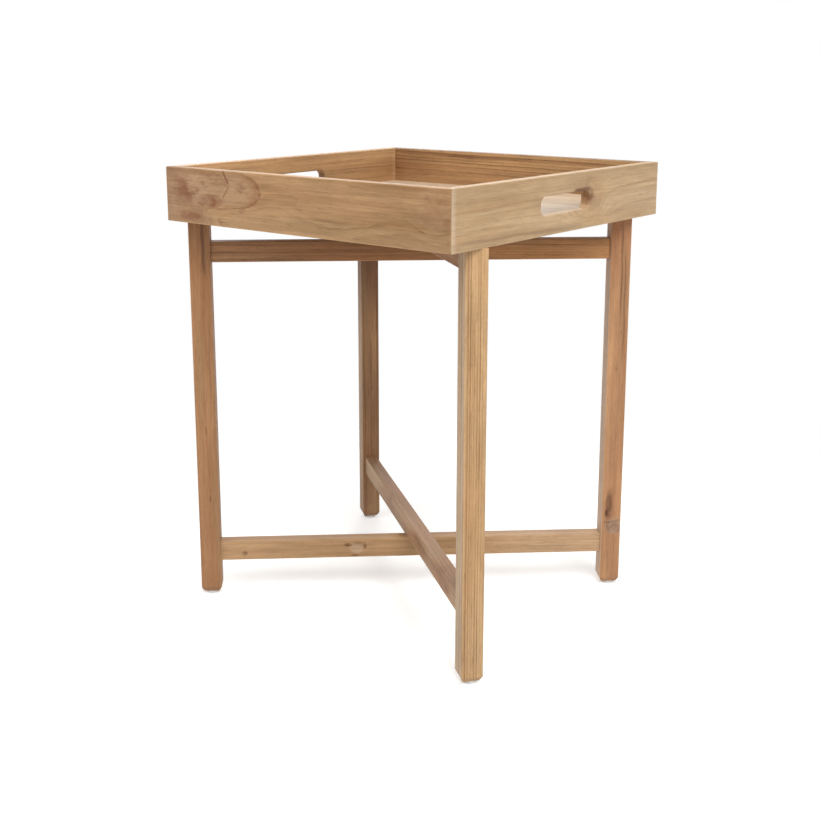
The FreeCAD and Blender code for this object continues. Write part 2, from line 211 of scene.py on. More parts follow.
# Edges rubbed paler, and paler still as a painted highlight along the eased edges: how far from the edge the
# wood is whole and where it is palest, how far this strays along the board, and how pale it gets
EDGE_WHOLE = 2.8 * MM
EDGE_PALEST = 0.6 * MM
RUB = Pattern((25, 25, 25), 3)
RUB_STRAY = 6 * MM
EDGE_PALE_SHARE = 0.3


def worn_and_highlit_edges(nodes, given, own):
    """How far the long edges and the ends of a board are rubbed paler, with a painted highlight."""
    sides = zip(nodes.parts(given["Half"]), nodes.parts(given["Place"]))
    from_x, from_y, from_z = [nodes.math("SUBTRACT", half, nodes.math("ABSOLUTE", at)) for half, at in sides]
    from_edge = nodes.math("MAXIMUM", nodes.math("MINIMUM", from_y, from_x), from_z)
    stray = nodes.from_middle(nodes.noise(own, RUB))
    from_edge = nodes.math("MULTIPLY_ADD", stray, RUB_STRAY, from_edge)
    return nodes.ease(from_edge, EDGE_WHOLE, EDGE_PALEST, 0, EDGE_PALE_SHARE)


# Streaks, fibres and pores along the board, clouds and smudges
BAND = Pattern((2.2, 30, 30), 4, 0.6, 0.36, 0.66)
MOSS = Pattern((3, 55, 55), 3, start=0.5, end=0.72)
MOSS_OFFSET = (3.7, 1.9, 0.6)
STREAK = Pattern((4.5, 170, 170), 3, 0.6, 0.4, 0.72)
CLOUD = Pattern((9, 24, 24), 3, 0.55)
FLECK = Pattern((38, 300, 300), 3, 0.65)
FIBRE = Pattern((14, 620, 620), 3, 0.6)
HAIR = Pattern((60, 2300, 2300), 1)
DASH = Pattern((55, 560, 560), 1, start=0.58, end=0.74)
PORE = Pattern((170, 2700, 2700), 0, start=0.66, end=0.74)
SMUDGE = Pattern((34, 62, 62), 3, 0.6, 0.47, 0.68)
# How many of the pores late wood closes
PORES_CLOSED = 0.7
# How far the wood takes on other colours
OLIVE_GREY = srgb(158, 134, 98)
MOSS_SHARE = 0.4
BLUSH_SHARE = 0.85
SMUDGE_SHARE = 0.65
END_SHARE = 0.45
DASH_DARK = 0.22
PORE_DARK = 0.3
# How much of the ring lines a blush hides, and how much of them stays at least
LINES_HIDDEN = 0.45
LINES_LEAST = 0.1
# How much each pattern brightens the wood
FIBRE_GLOW = 0.36
FLECK_GLOW = 0.3
HAIR_GLOW = 0.15
CLOUD_GLOW = 0.42
# How rough the oiled wood is, and how much ring lines, fibres and wear add to that
ROUGHNESS = 0.55
LINE_ROUGH = 0.1
FIBRE_ROUGH = 0.3
WORN_ROUGH = -0.15
# How high each pattern stands out of the surface
LINE_RISE = 0.35
FIBRE_RISE = 0.7
HAIR_RISE = 0.35
PORE_RISE = -0.8
DASH_RISE = -0.5
SCAR_RISE = -0.6


def teak_group():
    """Sawn teak in a board's own axes: growth rings round a heart, streaks, fibres, pores, and edges rubbed
    and painted paler.
    """
    tree = bpy.data.node_groups.new("teak", "ShaderNodeTree")
    add_sockets(tree, "INPUT", {
        "Place": "Vector", "Half": "Vector", "Heart": "Vector", "Seed": "Float", "Ring": "Float",
        "Wander": "Float", "Swell": "Float", "Scar": "Float", "Blush": "Float", "End": "Float",
        "Lines": "Float", "Streaks": "Float", "Pale": "Color", "Mid": "Color", "Dark": "Color",
        "Blush Colour": "Color", "Scar Colour": "Color"})
    add_sockets(tree, "OUTPUT", {"Colour": "Color", "Roughness": "Float", "Height": "Float"})
    nodes = Nodes(tree)
    given = nodes.add("NodeGroupInput").outputs
    seed = given["Seed"]
    own = nodes.vector("ADD", given["Place"], nodes.join(nodes.math("MULTIPLY", seed, SEED_STEP), seed, seed))
    late, line = growth_rings(nodes, given, own)
    worn_and_highlit = worn_and_highlit_edges(nodes, given, own)
    fibre = nodes.noise(own, FIBRE)
    hair = nodes.noise(own, HAIR)
    dash = nodes.patches(own, DASH)
    pore = nodes.patches(own, PORE)
    pore = nodes.math("MULTIPLY", pore, nodes.math("MULTIPLY_ADD", late, -PORES_CLOSED, 1))

    wood = nodes.blend(nodes.patches(own, BAND), given["Pale"], given["Mid"])
    moss = nodes.patches(nodes.vector("ADD", own, MOSS_OFFSET), MOSS, high=MOSS_SHARE)
    wood = nodes.blend(moss, wood, OLIVE_GREY)
    wood = nodes.blend(nodes.math("MULTIPLY", given["Blush"], BLUSH_SHARE), wood, given["Blush Colour"])
    smudge = nodes.patches(own, SMUDGE, high=SMUDGE_SHARE)
    wood = nodes.blend(nodes.math("MULTIPLY", smudge, given["Blush"]), wood, given["Scar Colour"])
    lines = nodes.math("MULTIPLY_ADD", given["Blush"], -LINES_HIDDEN, given["Lines"])
    dark = nodes.math("MULTIPLY", line, nodes.math("MAXIMUM", lines, LINES_LEAST))
    dark = nodes.add_up(dark, (nodes.patches(own, STREAK), given["Streaks"]), (dash, DASH_DARK))
    dark = nodes.math("MULTIPLY_ADD", pore, PORE_DARK, dark, clamp=True)
    wood = nodes.blend(dark, wood, given["Dark"])
    glow = nodes.add_up(1, (nodes.from_middle(fibre), FIBRE_GLOW),
                        (nodes.from_middle(nodes.noise(own, FLECK)), FLECK_GLOW),
                        (nodes.from_middle(hair), HAIR_GLOW),
                        (nodes.from_middle(nodes.noise(own, CLOUD)), CLOUD_GLOW))
    wood = nodes.blend(1, wood, nodes.join(glow, glow, glow), "MULTIPLY")
    wood = nodes.blend(given["Scar"], wood, given["Scar Colour"])
    wood = nodes.blend(nodes.math("MULTIPLY", given["End"], END_SHARE), wood, given["Dark"])
    # The edges paler: rubbed wear and a painted highlight
    wood = nodes.blend(worn_and_highlit, wood, given["Pale"])

    rough = nodes.add_up(ROUGHNESS, (line, LINE_ROUGH), (nodes.from_middle(fibre), FIBRE_ROUGH),
                         (worn_and_highlit, WORN_ROUGH))
    height = nodes.add_up(0, (line, LINE_RISE), (fibre, FIBRE_RISE), (hair, HAIR_RISE), (pore, PORE_RISE),
                          (dash, DASH_RISE), (given["Scar"], SCAR_RISE))
    nodes.add("NodeGroupOutput", {"Colour": wood, "Roughness": rough, "Height": height})
    return tree


TEAK = teak_group()

# The axes of a board: along the grain, across its face and out of its face. Places on it are in millimetres
# from its middle
ALONG, ACROSS, OUT = range(3)
# A knot at a place on the board's face, its half sizes, how far it pushes the rings aside, how dark its core
# and its rim are and how much of the face round it blushes
Knot = namedtuple("Knot", "along across length width swell core rim blush", defaults=(0, 0, 0))
# A drying crack, a dark vein, a seam or a line of painted shade between two places on the face, its width
# and how dark it is
Crack = namedtuple("Crack", "start end width depth")
# Another colour that comes in between two places along one axis of the board; some of them are painted light
# and shade
Shade = namedtuple("Shade", "axis start end strength colour")
# Where the heart of the tree lies: how it leans along the board, and its place across and out of the face
Heart = namedtuple("Heart", "lean across out")
# What makes one board differ from the next: its heart, the width of its rings, how far they wander, how
# strong its lines and streaks are, its marks, its shades, and the depth below its face where the marks end
Figure = namedtuple("Figure", "heart ring wander lines streaks seed marks shades skin",
                    defaults=((), (), None))
# The colours of one board
Tones = namedtuple("Tones", "pale mid dark blush scar")

# Leaves out the part of a vector that points out of the face
ON_FACE = (1, 1, 0)
# How knots, in shares of their size, and cracks, in metres, stray from their plain shapes
SHAKE = Pattern((15, 30, 30), 4, 0.42)
KNOT_SHAKE = (0.55, 0.55, 0)
CRACK_SHAKE = (6 * MM, 6 * MM, 0)
# How unevenly knots are darkened
MOTTLE = Pattern((75, 170, 170), 3, start=0.36, end=0.62)
MOTTLE_LEAST = 0.45
# A knot is a round hill, 1 high. The heights between which its core and its blush come in, the heights at
# which its rim is dark, and the places along the knot, in shares of its size, between which the rim comes in
CORE_HEIGHTS = (0.4, 0.9)
BLUSH_HEIGHTS = (0.08, 0.5)
RIM_HEIGHTS = ((0.155, 0), (0.19, 1), (0.215, 0.5), (0.33, 0))
RIM_COMES_IN = (-0.5, 0.7)
# The shares of a crack's half width and half length, and of a board's skin, where marks are at full strength
CRACK_FULL_WIDTH = 0.2
CRACK_FULL_LENGTH = 0.6
SKIN_FULL = 0.3
# How far a surface has to face along the grain to show end grain
END_FACING = (0.75, 0.95)
# How uneven and how shiny the wood is
WOOD_BUMP = 0.35
WOOD_BUMP_DEPTH = 0.5 * MM
WOOD_SHINE = 0.3


def knot_marks(nodes, place, figure):
    """How far the marks of a board push its rings aside, and where they darken it and blush it."""
    swell, scar, blush = 0, 0, 0
    shake = nodes.drift(place, SHAKE, ON_FACE)
    mottle = nodes.patches(place, MOTTLE, low=MOTTLE_LEAST)
    for mark in figure.marks:
        if isinstance(mark, Crack):
            scar = nodes.math("MAXIMUM", scar, crack_mask(nodes, place, shake, mark))
            continue
        offset = nodes.vector("SUBTRACT", place, (mark.along * MM, mark.across * MM, 0))
        above = nodes.parts(offset)[ACROSS]
        offset = nodes.vector("DIVIDE", offset, (mark.length * MM, mark.width * MM, 1))
        offset = nodes.vector("ADD", offset, nodes.vector("MULTIPLY", shake, KNOT_SHAKE))
        offset = nodes.vector("MULTIPLY", offset, ON_FACE)
        hill = nodes.math("EXPONENT", nodes.math("MULTIPLY", nodes.vector("DOT_PRODUCT", offset, offset), -1))
        if mark.swell:
            from_heart = mark.across - figure.heart.across
            slope = from_heart / math.hypot(from_heart, figure.heart.out)
            lift = nodes.math("MULTIPLY_ADD", above, -slope, mark.swell * MM)
            swell = nodes.math("MULTIPLY_ADD", hill, lift, swell)
        if mark.core:
            core = nodes.math("MULTIPLY", nodes.ease(hill, *CORE_HEIGHTS, 0, mark.core), mottle)
            scar = nodes.math("MAXIMUM", scar, core)
        if mark.rim:
            rim = nodes.curve(hill, [(height, mark.rim * level) for height, level in RIM_HEIGHTS])
            right_half = nodes.ease(nodes.parts(offset)[ALONG], *RIM_COMES_IN)
            rim = nodes.math("MULTIPLY", nodes.math("MULTIPLY", rim, right_half), mottle)
            scar = nodes.math("MAXIMUM", scar, rim)
        if mark.blush:
            flush = nodes.ease(hill, *BLUSH_HEIGHTS)
            blush = nodes.math("MULTIPLY_ADD", flush, mark.blush, blush, clamp=True)
    return swell, scar, blush


def crack_mask(nodes, place, shake, crack):
    """A thin dark line between two places on the face."""
    start = Vector(crack.start) * MM
    end = Vector(crack.end) * MM
    run = (end - start).normalized()
    offset = nodes.vector("SUBTRACT", place, (*(start + end) / 2, 0))
    offset = nodes.vector("ADD", offset, nodes.vector("MULTIPLY", shake, CRACK_SHAKE))
    ahead = nodes.math("ABSOLUTE", nodes.vector("DOT_PRODUCT", offset, (*run, 0)))
    aside = nodes.math("ABSOLUTE", nodes.vector("DOT_PRODUCT", offset, (-run.y, run.x, 0)))
    width = crack.width * MM
    half_run = (end - start).length / 2
    near = nodes.ease(aside, width, CRACK_FULL_WIDTH * width, 0, crack.depth)
    return nodes.math("MULTIPLY", near, nodes.ease(ahead, half_run, CRACK_FULL_LENGTH * half_run))


def board_axes(along, across):
    """The turn from the table's axes to the axes of a board."""
    return Matrix((along, across, along.cross(across))).transposed().to_euler()


def box_middle(node):
    """The middle of a frame node."""
    low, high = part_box(node)
    return (low + high) / 2


def board_half(node, turn):
    """Half of a board's length, width and thickness, in its own axes."""
    into = turn.to_matrix().inverted()
    middle = box_middle(node)
    corners = [into @ (vertex.co - middle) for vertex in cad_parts[node].data.vertices]
    return tuple(max(abs(corner[axis]) for corner in corners) for axis in (ALONG, ACROSS, OUT))


def teak_board(node, along, across, tones, figure):
    """Give one board its own teak, with the grain along it."""
    turn = board_axes(along, across)
    half = board_half(node, turn)
    material, nodes, shader = new_material(f"teak_{node}")
    spot = nodes.add("ShaderNodeTexCoord").outputs
    lie = {"Vector": spot["Object"], "Location": box_middle(node), "Rotation": turn}
    place = nodes.add("ShaderNodeMapping", lie, vector_type="TEXTURE").outputs[0]
    facing = nodes.math("ABSOLUTE", nodes.vector("DOT_PRODUCT", spot["Normal"], along))
    swell, scar, blush = knot_marks(nodes, place, figure)
    pale, mid = tones.pale, tones.mid
    for shade in figure.shades:
        at = nodes.parts(place)[shade.axis]
        share = nodes.ease(at, shade.start * MM, shade.end * MM, 0, shade.strength)
        pale = nodes.blend(share, pale, shade.colour)
        mid = nodes.blend(share, mid, shade.colour)
    if figure.skin:
        skin = figure.skin * MM
        below_face = nodes.math("SUBTRACT", half[OUT], nodes.parts(place)[OUT])
        scar = nodes.math("MULTIPLY", scar, nodes.ease(below_face, skin, SKIN_FULL * skin))
    heart = figure.heart
    values = {"Place": place, "Half": half, "Heart": (heart.lean, heart.across * MM, heart.out * MM),
              "Seed": figure.seed, "Ring": figure.ring * MM, "Wander": figure.wander * MM,
              "Swell": swell, "Scar": scar, "Blush": blush, "End": nodes.ease(facing, *END_FACING),
              "Lines": figure.lines, "Streaks": figure.streaks,
              "Pale": pale, "Mid": mid, "Dark": tones.dark,
              "Blush Colour": tones.blush, "Scar Colour": tones.scar}
    wood = nodes.add("ShaderNodeGroup", node_tree=TEAK)
    for name, value in values.items():
        nodes.put(wood.inputs[name], value)
    nodes.put(shader.inputs["Base Color"], wood.outputs["Colour"])
    nodes.put(shader.inputs["Roughness"], wood.outputs["Roughness"])
    shader.inputs["Specular IOR Level"].default_value = WOOD_SHINE
    add_bumps(nodes, shader, wood.outputs["Height"], WOOD_BUMP, WOOD_BUMP_DEPTH)
    finish_node(node, material)


def screen_tones(*colours):
    """The tones of a board, given as they look on a screen."""
    return Tones(*(srgb(*colour) for colour in colours))


def shaded(tones, share):
    """The same wood, a share as bright; on some floor boards this is painted shade."""
    return Tones(*((*(part * share for part in colour[:3]), 1) for colour in tones))


# Tray sides
WARM_TAN = screen_tones((185, 146, 104), (154, 115, 75), (106, 70, 40), (183, 147, 114), (120, 68, 38))
CREAM_TAN = screen_tones((201, 173, 137), (184, 151, 113), (142, 104, 68), (176, 132, 92), (110, 70, 46))
GOLDEN = screen_tones((188, 148, 104), (164, 122, 80), (98, 62, 36), (200, 158, 110), (90, 58, 38))
# Floor
PALE_FLOOR = screen_tones((215, 193, 168), (201, 177, 149), (164, 134, 102), (190, 170, 140), (130, 92, 62))
# Leg frames
LEG_TAN = screen_tones((206, 170, 126), (188, 149, 105), (136, 94, 56), (170, 126, 88), (100, 66, 42))
LEG_ORANGE = screen_tones((177, 130, 90), (153, 108, 71), (110, 70, 42), (160, 128, 98), (84, 54, 36))
LEG_RED = screen_tones((194, 147, 106), (172, 124, 87), (122, 80, 54), (176, 152, 130), (84, 48, 32))
# Darker brown wood, made darker still as painted shade of the tray over the back leg
LEG_BROWN = screen_tones((184, 142, 104), (160, 119, 84), (102, 68, 42), (140, 104, 76), (70, 46, 30))
RAIL_TAN = screen_tones((190, 153, 113), (167, 130, 91), (126, 88, 56), (204, 180, 154), (98, 60, 38))
RAIL_ROSE = screen_tones((190, 157, 121), (168, 131, 97), (116, 80, 54), (172, 122, 88), (114, 68, 44))
# Darker brown wood, made darker still as painted shade of the tray over the upper rails
RAIL_BROWN = screen_tones((170, 121, 80), (142, 98, 62), (92, 58, 34), (186, 136, 92), (70, 46, 30))

teak_board("tray_front_side", ALONG_X, ALONG_Z, WARM_TAN, Figure(
    heart=Heart(0.03, -30, -80), ring=4.5, wander=9, lines=0.5, streaks=0.22, seed=3.0, skin=7,
    shades=(Shade(ACROSS, -10, -34, 0.5, srgb(190, 154, 114)),
            Shade(ALONG, -170, -240, 0.6, srgb(140, 102, 76))), marks=(
        Knot(-150, 13, 68, 21, 20, rim=0.75, blush=0.55),
        Knot(-215, -4, 55, 40, 6, blush=0.5),
        Knot(-216, 4, 24, 30, 0, core=0.4),
        Knot(-160, -5, 32, 13, 0, core=0.85),
        Knot(-112, 10, 26, 22, 0, blush=0.2),
        Knot(-202, -27, 36, 10, 0, core=0.6),
        Knot(-100, -13, 9, 6, 0, core=0.5),
        Knot(230, 12, 28, 24, 9, core=0.2, blush=0.35),
        Knot(243, -2, 9, 8, 0, core=0.4),
        Knot(222, -30, 60, 12, 0, blush=0.15),
        Crack((-137, 42), (-122, 18), 2.6, 0.8),
        Crack((-122, 18), (-137, -2), 2.2, 0.5),
        Crack((208, 30), (240, 2), 6, 0.26),
        Crack((232, 34), (222, 14), 4, 0.2),
        Knot(60, 6, 75, 26, 6))))
teak_board("tray_right_handle_side", ALONG_Y, ALONG_Z, CREAM_TAN, Figure(
    heart=Heart(-0.02, -45, -75), ring=4.0, wander=8, lines=0.45, streaks=0.16, seed=11.0, skin=14,
    shades=(Shade(ACROSS, 18, 34, 0.45, srgb(174, 146, 110)),
            Shade(ALONG, -238, -249, 0.4, srgb(226, 208, 184))), marks=(
        Knot(60, 3, 38, 25, 26, blush=0.35),
        Knot(57, 5, 17, 18, 0, core=0.85),
        # Painted shade: a dark line along the upper edge of the handle slot, running into the knot at its end
        Crack((16, 14.5), (64, 15), 4.5, 0.85),
        Crack((-260, -27), (70, -34), 3, 0.3))))
teak_board("tray_back_side", ALONG_X, ALONG_Z, GOLDEN, Figure(
    heart=Heart(0.012, -170, -30), ring=6.5, wander=4, lines=1.0, streaks=0.3, seed=17.0,
    shades=(Shade(ALONG, -200, -110, 0.5, srgb(206, 162, 112)),
            Shade(ALONG, -20, 80, 0.55, srgb(170, 136, 94)),
            # Painted shade: the board darker lower down, as the shade on its inner face
            Shade(ACROSS, 22, 8, 0.42, srgb(138, 96, 60))), marks=(
        # Painted shade: the top face of the board darkened along its whole length
        Crack((-400, 38.5), (400, 38.5), 3, 0.75),)))
teak_board("tray_left_handle_side", ALONG_Y, ALONG_Z, GOLDEN, Figure(
    heart=Heart(0.02, -120, -70), ring=6.0, wander=5, lines=0.55, streaks=0.25, seed=23.0,
    # Painted shade: the board darker lower down, as the shade on its inner face
    shades=(Shade(ACROSS, 26, 6, 0.13, srgb(140, 94, 64)),
            Shade(ACROSS, 12, 34, 0.4, srgb(198, 160, 118)),
            Shade(ALONG, 0, -220, 0.7, srgb(218, 174, 128)),
            Shade(ALONG, 222, 236, 0.35, srgb(220, 184, 142)))))

# One row for each floor board: how bright it is, how its heart leans and where this lies across it. The
# boards differ in tone, and the third and fourth are darker still as painted shade of the right side on the
# floor seen through its handle slot. A dark line runs along each board where it meets the next
FLOOR_BOARDS = ((0.86, -0.04, -30), (0.9, 0.05, 20), (0.7, -0.02, -70), (0.76, 0.03, 45), (0.95, -0.05, -15))
for number, (brightness_and_shade, lean, heart_across) in enumerate(FLOOR_BOARDS, start=1):
    board = f"tray_floor_board_{number}"
    low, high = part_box(board)
    seam = (high.y - low.y) / 2 / MM
    past_end = (high.x - low.x) / MM
    teak_board(board, ALONG_X, ALONG_Y, shaded(PALE_FLOOR, brightness_and_shade), Figure(
        heart=Heart(lean, heart_across, -55),
        ring=4.5, wander=9, lines=0.5, streaks=0.25, seed=31.0 + 5 * number, marks=(
            Crack((-past_end, seam), (past_end, seam), 2, 0.8),
            Crack((-past_end, -seam), (past_end, -seam), 2, 0.8))))

# The way the grain of each piece under the floor runs, and its seed
FLOOR_SUPPORTS = {"tray_front_cleat": (ALONG_X, 77.0), "tray_back_cleat": (ALONG_X, 76.0),
                  "tray_left_cleat": (ALONG_Y, 86.0), "tray_right_cleat": (ALONG_Y, 87.0),
                  "tray_batten": (ALONG_Y, 82.0)}
for node, (along, seed) in FLOOR_SUPPORTS.items():
    teak_board(node, along, ALONG_Z, LEG_TAN, Figure(
        heart=Heart(0, -60, 30), ring=4, wander=4, lines=0.5, streaks=0.3, seed=seed))


def frame_direction(first_leg, second_leg):
    """The level direction of a leg frame, from its second leg to its first."""
    run = box_middle(first_leg) - box_middle(second_leg)
    return Vector((run.x, run.y, 0)).normalized()


UNDER = frame_direction("under_right_leg", "under_left_leg")
OVER = frame_direction("over_front_leg", "over_back_leg")
# The greyer skin on some faces of the legs, and how far the faces and the skin lie from a leg's middle
GREY_SKIN = 1.5
LEG_FACE = board_half("under_right_leg", board_axes(ALONG_Z, UNDER))[ACROSS] / MM
LEG_SKIN = LEG_FACE - GREY_SKIN

teak_board("over_front_leg", ALONG_Z, OVER, LEG_TAN, Figure(
    heart=Heart(0.001, -60, -150), ring=3.0, wander=1.2, lines=1.3, streaks=0.2, seed=83.0,
    shades=(Shade(OUT, -LEG_SKIN, -LEG_FACE, 0.7, srgb(196, 174, 148)),)))
teak_board("over_back_leg", ALONG_Z, OVER, LEG_BROWN, Figure(
    heart=Heart(0.004, -90, 120), ring=4.0, wander=4, lines=0.6, streaks=0.45, seed=89.0,
    shades=(Shade(OUT, -LEG_SKIN, -LEG_FACE, 0.6, srgb(180, 154, 130)),
            # Painted shade: darker towards the top, in the shadow of the tray
            Shade(ALONG, 40, 190, 0.9, srgb(102, 68, 46)))))
teak_board("under_left_leg", ALONG_Z, UNDER, LEG_ORANGE, Figure(
    heart=Heart(0.006, -120, 90), ring=5.0, wander=4, lines=0.2, streaks=0.15, seed=97.0,
    shades=(Shade(ALONG, 0, -160, 0.35, srgb(146, 104, 72)),
            Shade(ACROSS, LEG_SKIN, LEG_FACE, 0.5, srgb(182, 144, 112))), marks=(
        Crack((290, 4), (196, 6), 3.2, 0.6),
        Crack((150, 10), (-40, 8), 1.4, 0.3),
        Crack((-130, 2), (-142, 2), 1.6, 0.6),
        Crack((-20, 0), (-36, 0), 1.4, 0.5))))
teak_board("under_right_leg", ALONG_Z, UNDER, LEG_RED, Figure(
    heart=Heart(-0.004, -120, 110), ring=4.5, wander=3, lines=0.32, streaks=0.18, seed=101.0,
    shades=(Shade(ACROSS, -LEG_SKIN, -LEG_FACE, 0.9, srgb(212, 184, 158)),
            # Painted shade: darker and redder towards the top, in the shadow of the tray
            Shade(ALONG, 150, 280, 0.6, srgb(162, 108, 74))), marks=(
        Knot(57, 0, 5, 4, 2, core=0.6),
        Knot(-158, -4, 34, 8, 10, core=0.7),
        Knot(-170, -7, 12, 5, 0, core=0.9),
        Knot(-193, 5, 11, 12, 4, core=0.4, blush=0.7),
        Crack((-187, -14), (-183, 18), 3, 0.4),
        Crack((290, 2), (120, 3), 1.8, 0.5),
        Crack((250, 7), (60, 9), 1.6, 0.5))))
teak_board("under_lower_rail", UNDER, ALONG_Z, RAIL_TAN, Figure(
    heart=Heart(0.01, -80, -40), ring=4.5, wander=4, lines=0.45, streaks=0.25, seed=107.0,
    shades=(Shade(ALONG, 60, 200, 0.6, srgb(204, 170, 136)),), marks=(
        Knot(-85, -1, 9, 7, 6, blush=0.45),
        Knot(-98, 5, 9, 4, 0, core=0.9),
        Knot(-82, 8, 12, 3, 0, core=0.7),
        Knot(-72, 3, 4, 7, 0, core=0.6),
        Knot(-88, -12, 9, 3, 0, core=0.6),
        Knot(-254, -5, 6, 7, 2, core=0.85))))
teak_board("under_upper_rail", UNDER, ALONG_Z, RAIL_BROWN, Figure(
    heart=Heart(0.01, -80, -40), ring=4.5, wander=4, lines=0.6, streaks=0.4, seed=109.0,
    # Painted light and shade: lighter towards both ends, where light reaches under the tray, and darker along
    # the top, in the shade of the tray
    shades=(Shade(ALONG, 30, 150, 0.8, srgb(206, 150, 98)),
            Shade(ALONG, -120, -270, 0.6, srgb(190, 142, 102)),
            Shade(ACROSS, 4, 14, 0.5, srgb(106, 70, 40)))))
teak_board("over_lower_rail", OVER, ALONG_Z, RAIL_ROSE, Figure(
    heart=Heart(-0.01, -70, 50), ring=4.5, wander=5, lines=0.4, streaks=0.35, seed=113.0,
    # Painted shade: the top face of the rail darkened, against the light from above
    shades=(Shade(ACROSS, 12.5, 15, 0.6, srgb(148, 112, 82)),), marks=(
        Knot(205, 4, 45, 18, 9, core=0.35, blush=0.6),
        Knot(232, -2, 14, 9, 6, core=0.5),
        Knot(80, 0, 44, 14, 6, core=0.35, blush=0.5),
        Knot(10, -6, 40, 12, 4, core=0.3, blush=0.4),
        Knot(-120, 0, 60, 16, 5, core=0.3, blush=0.4))))
teak_board("over_upper_rail", OVER, ALONG_Z, RAIL_BROWN, Figure(
    heart=Heart(-0.01, -70, 50), ring=4.5, wander=3, lines=0.45, streaks=0.3, seed=127.0))

# The plugs are cut from their rails, so the grain runs on through them
for height in ("lower", "upper"):
    finish_node(f"{height}_pivot_plug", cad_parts[f"over_{height}_rail"].material_slots[0].material)
for number in range(1, 5):
    teak_board(f"tray_corner_tongue_{number}", ALONG_Z, ALONG_X, LEG_TAN, Figure(
        heart=Heart(0, -30, -20), ring=2.5, wander=1, lines=0.4, streaks=0.3, seed=137.0 + number))

# Zinc plating: its two greys, the grey of its rubbed spots and how far it shows, and how rough it is
ZINC_MOTTLE = Pattern((420, 420, 420), 4, start=0.3, end=0.7)
ZINC_RUB = Pattern((2600, 2600, 300), 2, start=0.6, end=0.8)
ZINC_DULL = srgb(176, 178, 182)
ZINC_BRIGHT = srgb(205, 206, 205)
ZINC_RUBBED = srgb(140, 142, 146)
ZINC_RUBBED_SHARE = 0.4
ZINC_ROUGHNESS = 0.3
ZINC_ROUGHER = 0.18
ZINC_BUMP = 0.2
# Nylon: off-white, grey where it is scuffed
NYLON_SCUFF = Pattern((300, 300, 900), 4, 0.65, 0.45, 0.75)
NYLON_GRAIN = Pattern((2200, 2200, 2200))
NYLON_CLEAN = srgb(226, 224, 218)
NYLON_SCUFFED = srgb(186, 182, 174)
NYLON_ROUGHNESS = 0.4
NYLON_ROUGHER = 0.25
NYLON_BUMP = 0.15
FITTING_BUMP_DEPTH = 0.1 * MM


def zinc_steel():
    """Zinc plating: a dull blue-grey metal with faint mottling and fine rubbing."""
    material, nodes, shader = new_material("zinc_plated_steel")
    place = nodes.add("ShaderNodeTexCoord").outputs["Object"]
    mottle = nodes.patches(place, ZINC_MOTTLE)
    rub = nodes.noise(place, ZINC_RUB)
    rubbed = nodes.ease(rub, ZINC_RUB.start, ZINC_RUB.end, 0, ZINC_RUBBED_SHARE)
    plating = nodes.blend(mottle, ZINC_DULL, ZINC_BRIGHT)
    nodes.put(shader.inputs["Base Color"], nodes.blend(rubbed, plating, ZINC_RUBBED))
    nodes.put(shader.inputs["Roughness"], nodes.math("MULTIPLY_ADD", mottle, ZINC_ROUGHER, ZINC_ROUGHNESS))
    shader.inputs["Metallic"].default_value = 1
    add_bumps(nodes, shader, rub, ZINC_BUMP, FITTING_BUMP_DEPTH)
    return material


def glide_nylon():
    """Off-white moulded nylon, scuffed grey in patches."""
    material, nodes, shader = new_material("glide_nylon")
    place = nodes.add("ShaderNodeTexCoord").outputs["Object"]
    scuff = nodes.patches(place, NYLON_SCUFF)
    nodes.put(shader.inputs["Base Color"], nodes.blend(scuff, NYLON_CLEAN, NYLON_SCUFFED))
    nodes.put(shader.inputs["Roughness"], nodes.math("MULTIPLY_ADD", scuff, NYLON_ROUGHER, NYLON_ROUGHNESS))
    add_bumps(nodes, shader, nodes.noise(place, NYLON_GRAIN), NYLON_BUMP, FITTING_BUMP_DEPTH)
    return material


ZINC = zinc_steel()
NYLON = glide_nylon()
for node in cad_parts:
    if node.endswith("_glide"):
        finish_node(node, NYLON)
    elif node.endswith(("_nail", "_screws", "_bolt", "_nut", "_washer")):
        finish_node(node, ZINC)


# Floor screws, in millimetres: the radii and heights of a screw's outline from its head up, and the cross
# recess in the head, at its mouth and at its bottom
SCREW_COUNT = 5
SCREW_OUTLINE = ((3.15, 0), (3.4, 0.25), (1.75, 2.2), (1.75, 15), (0.2, 18))
SCREW_SIDES = 32
RECESS_REACH = (1.9, 1.0)
RECESS_HALF_WIDTH = (0.5, 0.32)
RECESS_DEPTH = 1.5
# A cross looks the same after a quarter turn
MOST_TURN = (0, 0, math.pi / 2)


def cross_corners(reach, half_width):
    """The twelve corners of a cross, in order round it."""
    arm = [(reach, -half_width), (reach, half_width), (half_width, half_width)]
    turns = [(1, 0), (0, 1), (-1, 0), (0, -1)]
    return [(x * cos - y * sin, x * sin + y * cos) for cos, sin in turns for x, y in arm]


